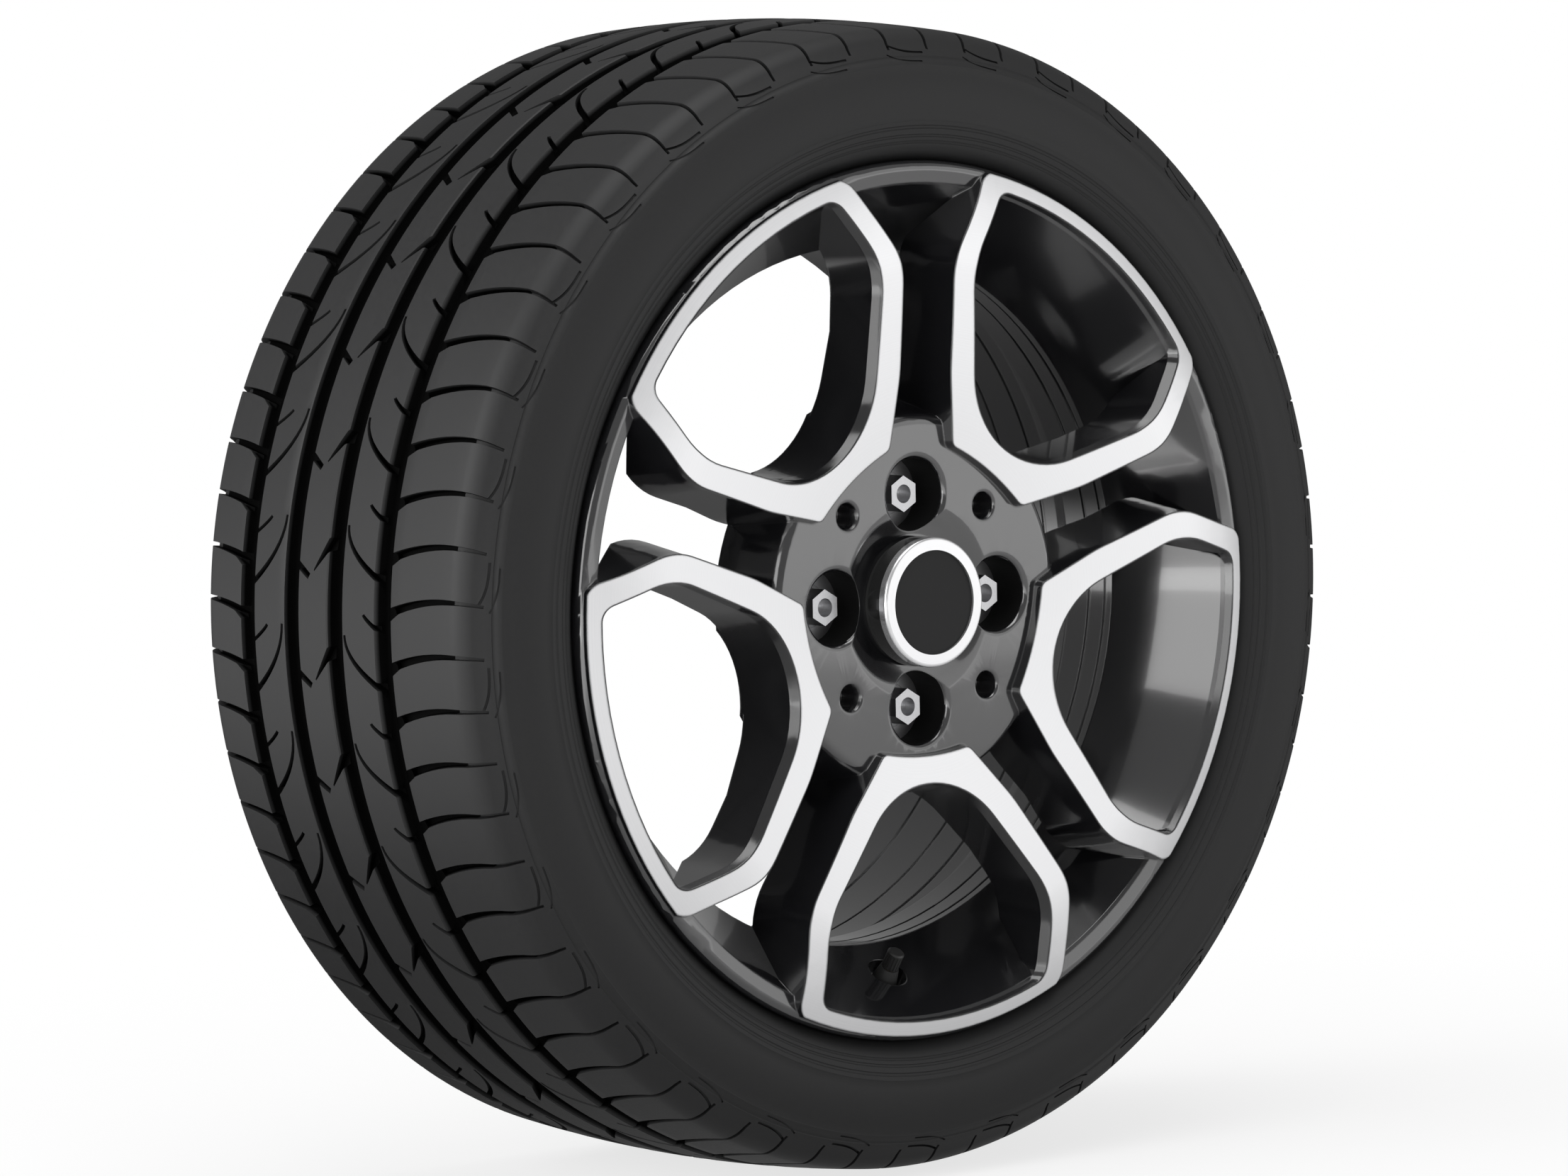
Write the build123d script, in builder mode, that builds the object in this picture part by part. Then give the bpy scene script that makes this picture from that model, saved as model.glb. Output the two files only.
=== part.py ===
"""Seventeen-inch alloy wheel with its tyre, bolts, centre cap and valve.

Frame: the wheel's axis is Y, its outer face looks towards -Y, and the origin is the centre
of the hub bore on the mounting face. Z is up, with the valve at the bottom.
"""

import os
from math import atan2, copysign, cos, radians, sin, sqrt, tan

from build123d import *

os.makedirs("parts", exist_ok=True)

# Fits between pieces
seat_gap = 0.1
slide_gap = 0.25

# Rim section, radii from the axis and widths along it
bead_r = 218.3
flange_height = 17.3
rim_width = 215.9
flange_thick = 13.0
flange_round = 5.0
rim_offset = 69.5
seat_width = 21.0
seat_angle = 5.0
hump_height = 1.0
hump_width = 4.0
well_r = 195.0
well_start = 62.0
well_width = 22.0
leg_r = 208.5
leg_rise = 22.0
leg_end_rise = 12.0
barrel_wall = 6.5
lip_inner_r = 224.0
lip_drop = 2.4
inner_lip_r = 222.0

# Wheel face: five closed rings round five windows
face_to_mount = 52.0
window_count = 5
window_angle = 54.0
ring_rim_r = 232.9
ring_side = 93.2
ring_shoulder = 158.5
ring_knee = (109.6, 57.5)
ring_heel = (80.4, 29.9)
ring_hub_r = 83.6
ring_rim_round = 12.0
ring_shoulder_round = 37.0
ring_knee_round = 90.0
ring_heel_round = 4.5
ring_draft = 9.0
window_rim_r = 224.6
window_side = 79.7
window_apex = 65.5
window_leg_angle = 38.9
window_rim_round = 9.3
window_bend_round = 44.0
window_foot_round = 54.2
window_draft = 4.0
outline_depth = 6.0

# Turned face of the rings, a dome: radius and height in front of the flange face
dome_hub = (70.0, -1.2)
dome_low = (134.5, 6.7)
dome_top = (183.0, 10.3)
dome_high = (212.0, 6.9)
dome_rim_height = 0.6
spoke_back = 30.0
spoke_back_r = 150.0
hub_back = 42.0
ring_thick_at_rim = 7.0

# Hub
hub_face_drop = 4.3
hub_r = 99.0
hub_edge_round = 6.0
hub_back_r = 110.0
pad_r = 75.0
pad_height = 6.0
bore_r = 33.05
bore_depth = 22.0
dish_r = 47.0
dish_depth = 4.7
cap_recess_r = 36.0
clip_bore_r = 31.0
clip_groove_r = 32.3
clip_groove_width = 4.0
clip_groove_depth = 16.0
small_hole_circle = 68.4
small_hole_r = 7.0
small_hole_depth = 16.0
small_hole_angle = 45.0
back_pocket_circle = 56.0
back_pocket_r = 12.0
back_pocket_depth = 18.0

# Wheel bolts
bolt_count = 4
bolt_circle = 114.3
bolt_pocket_r = 19.7
bolt_pocket_floor = 28.0
bolt_thread_r = 6.0
bolt_hole_r = 7.5
bolt_seat_r = 12.0
bolt_seat_angle = 60.0
bolt_hex_flats = 17.0
bolt_hex_height = 14.0
bolt_hollow_r = 5.0
bolt_hollow_depth = 8.0
bolt_reach = 24.0

# Centre cap
cap_front = 9.3
cap_ring_r = 34.8
cap_ring_inner_r = 28.0
cap_ring_round = 1.8
cap_base_thick = 4.0
cap_wall = 2.0
cap_disc_drop = 1.4
cap_disc_thick = 1.3
clip_count = 6
clip_thick = 1.8
clip_barb = 1.0
clip_slot = 12.0
cap_wire_r = 0.9
cap_wire_inset = 3.0

# Tyre
tyre_r = 311.0
tread_half = 100.0
tread_drop = 5.0
shoulder_r = 297.6
shoulder_half = 111.7
shoulder_bulge = 1.25
section_r = 268.0
section_half = 124.0
protector_r = 242.5
protector_half = 119.5
bead_width = 20.0
bead_thick = 11.0
bead_slope = 3.0
side_thick = 10.5
tread_thick = 13.5
liner_shoulder_r = 289.0
liner_shoulder_half = 98.0
groove_depth = 7.5
groove_width = 12.6
groove_draft = 1.2
groove_places = (-49.5, -10.0, 27.5, 67.5)
pitch_count = 68
cross_width = 3.2
cross_depth = 6.0
cross_skew = 7.0
cross_tilt = 9.0
slim_count = 34
slim_width = 2.6
slim_depth = 5.0

# Slim cuts across the ribs: the groove they open into, their reach from its edge and their slant
slim_cuts = ((0, 26.0, -45.0), (1, 10.0, 33.0), (2, -10.0, -41.0), (3, -27.0, 54.0))

# Valve, along its own axis from the floor of its pocket
valve_web = 4.0
valve_tip_r = 190.4
valve_tip_depth = 27.0
valve_pocket_r = 11.0
valve_hole_r = 5.75
valve_spot_r = 12.0
bulb_r = 9.5
bulb_length = 6.0
collar_r = 7.6
collar_length = 2.5
rubber_top = 13.0
rubber_top_r = 5.2
stem_r = 3.85
stem_lower_r = 3.4
stem_bore_r = 2.0
core_bore_r = 2.65
core_bore_depth = 13.0
stem_top = 21.2
core_r = 2.4
core_length = 11.0
core_drop = 1.0
gasket_width = 1.6
gasket_drop = 7.0
pin_r = 0.7
pin_head_r = 1.2
pin_head_length = 1.2
spring_r = 1.0
spring_wire_r = 0.2
spring_length = 3.6
spring_turns = 5
spring_well_r = 1.5
pin_seal_r = 1.6
pin_seal_thick = 1.2
valve_cap_r = 4.75
valve_cap_end = 1.7
valve_cap_round = 0.8
valve_cap_gap = 0.4
valve_cap_seal_thick = 0.6
valve_cap_flutes = 16
valve_cap_flute_r = 0.4

# Places along the axis that follow from the sizes above
flange_top_r = bead_r + flange_height
face_y = -face_to_mount
outer_flange = rim_offset - rim_width / 2
inner_flange = rim_offset + rim_width / 2
outer_edge = outer_flange - flange_thick
inner_edge = inner_flange + flange_thick
seat_fall = seat_width * tan(radians(seat_angle))
barrel_inner_r = leg_r - barrel_wall
well_inner_r = well_r - barrel_wall
well_front_y = face_y + well_start
well_back_y = well_front_y + well_width
leg_front_y = well_back_y + leg_rise
hub_face_y = face_y + hub_face_drop
cap_seat_y = hub_face_y + dish_depth
leg_back_y = inner_flange - seat_width - hump_width - leg_end_rise
valve_height = stem_top + valve_cap_seal_thick + valve_cap_end


def rim_side(sign, edge, flange):
    """Tyre side of one flange and bead seat, from the flange's top to the foot of the hump."""
    inward = -sign
    heel = (bead_r, flange)
    seat_end = (bead_r - seat_fall, flange + inward * seat_width)
    hump_top = (seat_end[0] + hump_height, seat_end[1] + inward * hump_width / 2)
    hump_foot = (seat_end[0], seat_end[1] + inward * hump_width)
    return [(flange_top_r, edge), (flange_top_r, flange), heel, seat_end, hump_top, hump_foot]


# Outline of one machined ring, with its window along X
ring_corner = sqrt(ring_rim_r**2 - ring_side**2)
with BuildSketch() as ring_outline:
    with BuildLine():
        ThreePointArc((ring_heel[0], -ring_heel[1]), (ring_hub_r, 0), ring_heel)
        Polyline(ring_heel, ring_knee, (ring_shoulder, ring_side), (ring_corner, ring_side))
        ThreePointArc((ring_corner, ring_side), (ring_rim_r, 0), (ring_corner, -ring_side))
        Polyline(
            (ring_corner, -ring_side),
            (ring_shoulder, -ring_side),
            (ring_knee[0], -ring_knee[1]),
            (ring_heel[0], -ring_heel[1]),
        )
    make_face()
    fillet(ring_outline.vertices().group_by(Axis.X)[3], ring_rim_round)
    fillet(ring_outline.vertices().group_by(Axis.X)[2], ring_shoulder_round)
    fillet(ring_outline.vertices().group_by(Axis.X)[1], ring_knee_round)
    fillet(ring_outline.vertices().group_by(Axis.X)[0], ring_heel_round)

# Outline of one window: two straight legs, two sides and an arc along the rim
window_corner = sqrt(window_rim_r**2 - window_side**2)
window_bend = window_apex + window_side / tan(radians(window_leg_angle))
with BuildSketch() as window_outline:
    with BuildLine():
        Polyline(
            (window_corner, -window_side),
            (window_bend, -window_side),
            (window_apex, 0),
            (window_bend, window_side),
            (window_corner, window_side),
        )
        ThreePointArc(
            (window_corner, window_side), (window_rim_r, 0), (window_corner, -window_side)
        )
    make_face()
    fillet(window_outline.vertices().group_by(Axis.X)[2], window_rim_round)
    fillet(window_outline.vertices().group_by(Axis.X)[1], window_bend_round)
    fillet(window_outline.vertices().group_by(Axis.X)[0], window_foot_round)

# The valve stands square on the bowl that leads from the lip to the well
bowl_lip = (lip_inner_r, face_y + lip_drop)
bowl_foot = (well_inner_r, well_front_y - barrel_wall)
bowl_angle = atan2(bowl_lip[0] - bowl_foot[0], bowl_foot[1] - bowl_lip[1])
valve_dir = Vector(0, -sin(bowl_angle), cos(bowl_angle))
valve_tip = Vector(0, face_y + valve_tip_depth, -valve_tip_r)
valve_floor = valve_tip - valve_dir * valve_height
valve_section = Plane(origin=valve_floor, x_dir=(1, 0, 0), z_dir=Vector(1, 0, 0).cross(valve_dir))
valve_axis = Axis(valve_floor, valve_dir)
valve_plane = Plane(origin=valve_floor, x_dir=(1, 0, 0), z_dir=valve_dir)

# Cast wheel: rings and hub first, then the windows, then the turned rim round them
with BuildPart(Plane.XZ) as alloy_rim:
    with BuildSketch(Plane.XZ.offset(face_to_mount + outline_depth)) as ring_faces:
        with PolarLocations(0, window_count, start_angle=window_angle):
            add(ring_outline.sketch)
    extrude(amount=dome_top[1])
    extrude(ring_faces.sketch, amount=-(outline_depth + hub_back), taper=-ring_draft)
    with BuildSketch(Plane.XY) as dome:
        with BuildLine():
            ThreePointArc(
                (dome_hub[0], face_y - dome_hub[1]),
                (dome_low[0], face_y - dome_low[1]),
                (dome_top[0], face_y - dome_top[1]),
            )
            ThreePointArc(
                (dome_top[0], face_y - dome_top[1]),
                (dome_high[0], face_y - dome_high[1]),
                (ring_rim_r, face_y - dome_rim_height),
            )
            Polyline(
                (ring_rim_r, face_y - dome_rim_height),
                (ring_rim_r, face_y + ring_thick_at_rim),
                (lip_inner_r, face_y + ring_thick_at_rim),
                (well_r, face_y + spoke_back),
                (spoke_back_r, face_y + spoke_back),
                (hub_r, face_y + hub_back),
                (dome_hub[0], face_y + hub_back),
                (dome_hub[0], face_y - dome_hub[1]),
            )
        make_face()
    revolve(axis=Axis.Y, mode=Mode.INTERSECT)
    with BuildSketch(Plane.XY) as hub:
        with BuildLine():
            Polyline(
                (clip_bore_r, cap_seat_y),
                (cap_recess_r, cap_seat_y),
                (dish_r, hub_face_y),
                (hub_r, hub_face_y),
                (hub_back_r, face_y + hub_back),
                (pad_r, -pad_height),
                (pad_r, 0),
                (bore_r, 0),
                (bore_r, -bore_depth),
                (clip_bore_r, -bore_depth),
                (clip_bore_r, cap_seat_y),
            )
        make_face()
        fillet(hub.vertices().sort_by_distance((hub_r, hub_face_y))[0], hub_edge_round)
    revolve(axis=Axis.Y)
    with BuildSketch(Plane.XZ.offset(face_to_mount + outline_depth)) as window_faces:
        with PolarLocations(0, window_count, start_angle=window_angle):
            add(window_outline.sketch)
    extrude(amount=dome_top[1], mode=Mode.SUBTRACT)
    extrude(
        window_faces.sketch,
        amount=-(outline_depth + face_to_mount),
        taper=window_draft,
        mode=Mode.SUBTRACT,
    )
    outer_side = rim_side(-1, outer_edge, outer_flange)
    inner_side = rim_side(1, inner_edge, inner_flange)
    with BuildSketch(Plane.XY) as rim:
        with BuildLine():
            Polyline(
                bowl_lip,
                *outer_side,
                (well_r, well_front_y),
                (well_r, well_back_y),
                (leg_r, leg_front_y),
                (leg_r, leg_back_y),
                *reversed(inner_side),
                (inner_lip_r, inner_edge),
                (barrel_inner_r, inner_flange - seat_width),
                (barrel_inner_r, leg_front_y + barrel_wall),
                (well_inner_r, well_back_y + barrel_wall),
                bowl_foot,
                bowl_lip,
            )
        make_face()
        fillet(rim.vertices().group_by(Axis.X)[-1], flange_round)
    revolve(axis=Axis.Y)
    with BuildSketch(Plane.XZ.offset(face_to_mount)):
        with PolarLocations(bolt_circle / 2, bolt_count):
            Circle(bolt_pocket_r)
    extrude(amount=-bolt_pocket_floor, mode=Mode.SUBTRACT)
    with BuildSketch(Plane.XZ.offset(face_to_mount)):
        with PolarLocations(small_hole_circle, bolt_count, start_angle=small_hole_angle):
            Circle(small_hole_r)
    extrude(amount=-(hub_face_drop + small_hole_depth), mode=Mode.SUBTRACT)
    with BuildSketch(Plane.XZ):
        with PolarLocations(bolt_circle / 2, bolt_count):
            Circle(bolt_hole_r)
    extrude(amount=face_to_mount, mode=Mode.SUBTRACT)
    seat_depth = (bolt_seat_r - bolt_hole_r) / tan(radians(bolt_seat_angle / 2))
    with BuildSketch(Plane.XZ.offset(face_to_mount - bolt_pocket_floor)):
        with PolarLocations(bolt_circle / 2, bolt_count):
            Circle(bolt_seat_r)
    extrude(amount=-seat_depth, taper=bolt_seat_angle / 2, mode=Mode.SUBTRACT)
    with BuildSketch(Plane.XZ.offset(-cap_seat_y - clip_groove_depth)):
        Circle(clip_groove_r)
    extrude(amount=clip_groove_width, mode=Mode.SUBTRACT)
    with BuildSketch(Plane.XZ):
        with PolarLocations(back_pocket_circle, bolt_count, start_angle=small_hole_angle):
            Circle(back_pocket_r)
    extrude(amount=back_pocket_depth, mode=Mode.SUBTRACT)
    with BuildSketch(valve_plane):
        Circle(valve_pocket_r)
    extrude(amount=valve_height, mode=Mode.SUBTRACT)
    with BuildSketch(valve_plane.offset(-valve_web)):
        Circle(valve_spot_r)
    extrude(amount=-valve_spot_r, mode=Mode.SUBTRACT)
    with BuildSketch(valve_plane):
        Circle(valve_hole_r)
    extrude(amount=-valve_web, mode=Mode.SUBTRACT)
alloy_rim.part.label = "alloy_rim"
export_step(alloy_rim.part, "parts/alloy_rim.step")

# Tyre: a moulded carcass whose beads lie against the rim, with a patterned tread
bead_half = rim_width / 2 - seat_gap
toe_half = rim_width / 2 - bead_width
toe_r = bead_r - bead_width * tan(radians(seat_angle)) + seat_gap
hook_r = flange_top_r - flange_round
hook_half = rim_width / 2 + flange_round
hook_reach = flange_round + seat_gap
shoulder_mid_r = (shoulder_r + tyre_r - tread_drop) / 2 + shoulder_bulge
shoulder_mid_half = (shoulder_half + tread_half) / 2 + shoulder_bulge


def tyre_side(sign):
    """One side of the tyre's section, from the edge of the tread round the bead to the liner."""
    at = lambda radius, half: (radius, rim_offset + sign * half)
    ThreePointArc(
        at(tyre_r - tread_drop, tread_half),
        at(shoulder_mid_r, shoulder_mid_half),
        at(shoulder_r, shoulder_half),
    )
    ThreePointArc(
        at(shoulder_r, shoulder_half),
        at(section_r, section_half),
        at(protector_r, protector_half),
    )
    Line(at(protector_r, protector_half), at(hook_r + hook_reach, hook_half))
    ThreePointArc(
        at(hook_r + hook_reach, hook_half),
        at(hook_r + hook_reach * sin(radians(45)), hook_half - hook_reach * cos(radians(45))),
        at(hook_r, hook_half - hook_reach),
    )
    Polyline(
        at(hook_r, hook_half - hook_reach),
        at(bead_r + seat_gap, bead_half),
        at(toe_r, toe_half),
        at(bead_r + bead_thick, toe_half + bead_slope),
    )
    ThreePointArc(
        at(bead_r + bead_thick, toe_half + bead_slope),
        at(section_r, section_half - side_thick),
        at(liner_shoulder_r, liner_shoulder_half),
    )


groove_floor = tyre_r - groove_depth
shoulder_cut_out = shoulder_half + cross_depth
outer_cut_in = -groove_places[0] + groove_width / 2 - groove_draft
inner_cut_in = groove_places[3] + groove_width / 2 - groove_draft
with BuildPart(Plane.XZ) as tyre:
    with BuildSketch(Plane.XY):
        with BuildLine():
            ThreePointArc(
                (tyre_r - tread_drop, rim_offset - tread_half),
                (tyre_r, rim_offset),
                (tyre_r - tread_drop, rim_offset + tread_half),
            )
            tyre_side(-1)
            tyre_side(1)
            ThreePointArc(
                (liner_shoulder_r, rim_offset - liner_shoulder_half),
                (tyre_r - tread_thick, rim_offset),
                (liner_shoulder_r, rim_offset + liner_shoulder_half),
            )
        make_face()
    revolve(axis=Axis.Y)
    with BuildSketch(Plane.XY):
        for place in groove_places:
            fall = tread_drop * (place / tread_half) ** 2
            with BuildLine():
                Polyline(
                    (groove_floor - fall, rim_offset + place - groove_width / 2 + groove_draft),
                    (tyre_r + groove_depth, rim_offset + place - groove_width / 2 - groove_draft),
                    (tyre_r + groove_depth, rim_offset + place + groove_width / 2 + groove_draft),
                    (groove_floor - fall, rim_offset + place + groove_width / 2 - groove_draft),
                    close=True,
                )
            make_face()
    revolve(axis=Axis.Y, mode=Mode.SUBTRACT)
    for side, cut_in in ((1, outer_cut_in), (-1, inner_cut_in)):
        cut_centre = side * (cut_in + shoulder_cut_out) / 2 - rim_offset
        with PolarLocations(tyre_r - tread_drop, pitch_count):
            with Locations((0, 0, cut_centre)):
                Box(
                    2 * cross_depth,
                    cross_width,
                    shoulder_cut_out - cut_in,
                    rotation=(side * cross_skew, -side * cross_tilt, 0),
                    mode=Mode.SUBTRACT,
                )
    for groove, reach, slant in slim_cuts:
        edge = copysign(groove_width / 2 - groove_draft, reach)
        middle = groove_places[groove] + edge + reach / 2
        fall = tread_drop * (middle / tread_half) ** 2
        with PolarLocations(tyre_r - fall, slim_count):
            with Locations((0, 0, -rim_offset - middle)):
                Box(
                    2 * slim_depth,
                    slim_width,
                    abs(reach) / cos(radians(slant)),
                    rotation=(slant, 0, 0),
                    mode=Mode.SUBTRACT,
                )
tyre.part.label = "tyre"
export_step(tyre.part, "parts/tyre.step")

# One wheel bolt along Z, outboard up: hollow hexagon head, cone seat and shank
seat_z = face_to_mount - bolt_pocket_floor
with BuildPart() as bolt:
    with BuildSketch(Plane.XZ):
        with BuildLine():
            Polyline(
                (0, -bolt_reach),
                (bolt_thread_r, -bolt_reach),
                (bolt_thread_r, seat_z - seat_depth),
                (bolt_hole_r - seat_gap, seat_z - seat_depth),
                (bolt_seat_r - seat_gap, seat_z),
                (0, seat_z),
                close=True,
            )
        make_face()
    revolve(axis=Axis.Z)
    with BuildSketch(Plane.XY.offset(seat_z)):
        RegularPolygon(bolt_hex_flats / 2, 6, major_radius=False, rotation=30)
    extrude(amount=bolt_hex_height)
    with BuildSketch(Plane.XY.offset(seat_z + bolt_hex_height)):
        Circle(bolt_hollow_r)
    extrude(amount=-bolt_hollow_depth, mode=Mode.SUBTRACT)
with BuildPart(Plane.XZ) as wheel_bolts:
    with PolarLocations(bolt_circle / 2, bolt_count, rotate=False):
        add(bolt.part)
wheel_bolts.part.label = "wheel_bolts"
export_step(wheel_bolts.part, "parts/wheel_bolts.step")

# Centre cap: a hollow moulding on clip legs, with a bright ring and a dull disc on its front
cap_front_y = face_y - cap_front
disc_front_y = cap_front_y + cap_disc_drop
disc_back_y = disc_front_y + cap_disc_thick
cap_core_r = cap_ring_inner_r - seat_gap
base_front_y = cap_seat_y - cap_base_thick
leg_outer_r = clip_bore_r - slide_gap
leg_inner_r = leg_outer_r - clip_thick
barb_y = cap_seat_y + clip_groove_depth - clip_groove_width + slide_gap
leg_end_y = cap_seat_y + clip_groove_depth - slide_gap
with BuildPart(Plane.XZ) as cap_body:
    with BuildSketch(Plane.XY):
        with BuildLine():
            Polyline(
                (0, disc_back_y),
                (cap_core_r, disc_back_y),
                (cap_core_r, base_front_y),
                (cap_ring_r - cap_ring_round, base_front_y),
                (cap_ring_r - cap_ring_round, cap_seat_y),
                (leg_outer_r, cap_seat_y),
                (leg_outer_r, barb_y),
                (leg_outer_r + clip_barb, barb_y),
                (leg_outer_r, leg_end_y),
                (leg_inner_r, leg_end_y),
                (leg_inner_r, cap_seat_y),
                (cap_core_r - cap_wall, cap_seat_y),
                (cap_core_r - cap_wall, disc_back_y + cap_wall),
                (0, disc_back_y + cap_wall),
                close=True,
            )
        make_face()
    revolve(axis=Axis.Y)
    with BuildSketch(Plane.XZ.offset(-cap_seat_y)):
        with PolarLocations(leg_outer_r, clip_count):
            Rectangle(2 * clip_bore_r - 2 * leg_inner_r + 2 * clip_barb, clip_slot)
    extrude(amount=-clip_groove_depth, mode=Mode.SUBTRACT)
cap_body.part.label = "cap_body"
export_step(cap_body.part, "parts/cap_body.step")

with BuildPart() as cap_ring:
    with BuildSketch(Plane.XY) as ring_section:
        with Locations(((cap_ring_r + cap_ring_inner_r) / 2, (cap_front_y + base_front_y) / 2)):
            Rectangle(cap_ring_r - cap_ring_inner_r, base_front_y - cap_front_y)
        fillet(ring_section.vertices().group_by(Axis.Y)[0].sort_by(Axis.X)[-1], cap_ring_round)
    revolve(axis=Axis.Y)
cap_ring.part.label = "cap_ring"
export_step(cap_ring.part, "parts/cap_ring.step")

with BuildPart() as cap_disc:
    with BuildSketch(Plane.XZ.offset(-disc_back_y)):
        Circle(cap_core_r)
    extrude(amount=cap_disc_thick)
cap_disc.part.label = "cap_disc"
export_step(cap_disc.part, "parts/cap_disc.step")

with BuildPart() as cap_spring:
    with BuildSketch(Plane.XY):
        with Locations((leg_inner_r - cap_wire_r - seat_gap / 2, leg_end_y - cap_wire_inset)):
            Circle(cap_wire_r)
    revolve(axis=Axis.Y)
cap_spring.part.label = "cap_spring"
export_step(cap_spring.part, "parts/cap_spring.step")

# Tyre valve: sections are drawn with the radius along X and the valve's axis along Y
bulb_end = -valve_web - bulb_length
core_floor = stem_top - core_bore_depth
core_top = stem_top - core_drop
core_end = core_top - core_length
spring_floor = core_top - spring_length - pin_head_length
with BuildPart() as valve_body:
    with BuildSketch(valve_section):
        with BuildLine():
            Polyline(
                (stem_lower_r, bulb_end),
                (collar_r, bulb_end),
                (bulb_r, -valve_web - collar_length),
                (bulb_r, -valve_web - seat_gap),
                (valve_hole_r - seat_gap, -valve_web - seat_gap),
                (valve_hole_r - seat_gap, seat_gap),
                (collar_r, seat_gap),
                (collar_r, collar_length),
                (rubber_top_r, rubber_top),
                (stem_lower_r, rubber_top),
                close=True,
            )
        make_face()
    revolve(axis=valve_axis)
valve_body.part.label = "valve_body"
export_step(valve_body.part, "parts/valve_body.step")

with BuildPart() as valve_stem:
    with BuildSketch(valve_section):
        with BuildLine():
            Polyline(
                (stem_bore_r, bulb_end),
                (stem_lower_r, bulb_end),
                (stem_lower_r, rubber_top),
                (stem_r, rubber_top),
                (stem_r, stem_top),
                (core_bore_r, stem_top),
                (core_bore_r, core_floor),
                (stem_bore_r, core_floor),
                close=True,
            )
        make_face()
    revolve(axis=valve_axis)
valve_stem.part.label = "valve_stem"
export_step(valve_stem.part, "parts/valve_stem.step")

with BuildPart() as valve_core:
    with BuildSketch(valve_section):
        with BuildLine():
            Polyline(
                (pin_r + slide_gap, core_end),
                (core_r, core_end),
                (core_r, core_top),
                (spring_well_r, core_top),
                (spring_well_r, spring_floor),
                (pin_r + slide_gap, spring_floor),
                close=True,
            )
        make_face()
    revolve(axis=valve_axis)
valve_core.part.label = "valve_core"
export_step(valve_core.part, "parts/valve_core.step")

with BuildPart() as core_gasket:
    with BuildSketch(valve_section):
        with Locations(((core_r + core_bore_r) / 2, stem_top - gasket_drop)):
            Rectangle(core_bore_r - core_r, gasket_width)
    revolve(axis=valve_axis)
core_gasket.part.label = "core_gasket"
export_step(core_gasket.part, "parts/core_gasket.step")

pin_seal_top = core_end - seat_gap / 2
with BuildPart() as valve_pin:
    with BuildSketch(valve_section):
        with BuildLine():
            Polyline(
                (0, pin_seal_top - pin_seal_thick),
                (pin_r, pin_seal_top - pin_seal_thick),
                (pin_r, core_top - pin_head_length),
                (pin_head_r, core_top - pin_head_length),
                (pin_head_r, core_top),
                (0, core_top),
                close=True,
            )
        make_face()
    revolve(axis=valve_axis)
valve_pin.part.label = "valve_pin"
export_step(valve_pin.part, "parts/valve_pin.step")

with BuildPart() as pin_seal:
    with BuildSketch(valve_plane.offset(pin_seal_top)):
        Circle(pin_seal_r)
        Circle(pin_r, mode=Mode.SUBTRACT)
    extrude(amount=-pin_seal_thick)
pin_seal.part.label = "pin_seal"
export_step(pin_seal.part, "parts/pin_seal.step")

coil_height = spring_length - 2 * spring_wire_r - seat_gap
with BuildPart() as valve_spring:
    with BuildLine():
        coil = Helix(
            coil_height / spring_turns,
            coil_height,
            spring_r,
            center=valve_floor + valve_dir * (spring_floor + spring_wire_r + seat_gap / 2),
            direction=valve_dir,
        )
    with BuildSketch(Plane(origin=coil @ 0, z_dir=coil % 0)):
        Circle(spring_wire_r)
    sweep(path=coil, is_frenet=True)
valve_spring.part.label = "valve_spring"
export_step(valve_spring.part, "parts/valve_spring.step")

cap_mouth = rubber_top + valve_cap_gap
with BuildPart() as valve_cap:
    with BuildSketch(valve_section):
        with BuildLine():
            Polyline(
                (0, stem_top + valve_cap_seal_thick),
                (stem_r + slide_gap, stem_top + valve_cap_seal_thick),
                (stem_r + slide_gap, cap_mouth),
                (valve_cap_r, cap_mouth),
                (valve_cap_r, valve_height - valve_cap_round),
                (valve_cap_r - valve_cap_round, valve_height),
                (0, valve_height),
                close=True,
            )
        make_face()
    revolve(axis=valve_axis)
    with BuildSketch(valve_plane.offset(cap_mouth)):
        with PolarLocations(valve_cap_r, valve_cap_flutes):
            Circle(valve_cap_flute_r)
    extrude(amount=valve_height - cap_mouth - 2 * valve_cap_round, mode=Mode.SUBTRACT)
valve_cap.part.label = "valve_cap"
export_step(valve_cap.part, "parts/valve_cap.step")

with BuildPart() as valve_cap_seal:
    with BuildSketch(valve_plane.offset(stem_top + seat_gap / 2)):
        Circle(stem_r)
        Circle(core_bore_r, mode=Mode.SUBTRACT)
    extrude(amount=valve_cap_seal_thick - seat_gap)
valve_cap_seal.part.label = "valve_cap_seal"
export_step(valve_cap_seal.part, "parts/valve_cap_seal.step")
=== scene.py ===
import bpy
from math import atan2, cos, hypot, pi, radians, sin, sqrt
from mathutils import Matrix, Vector


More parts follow.
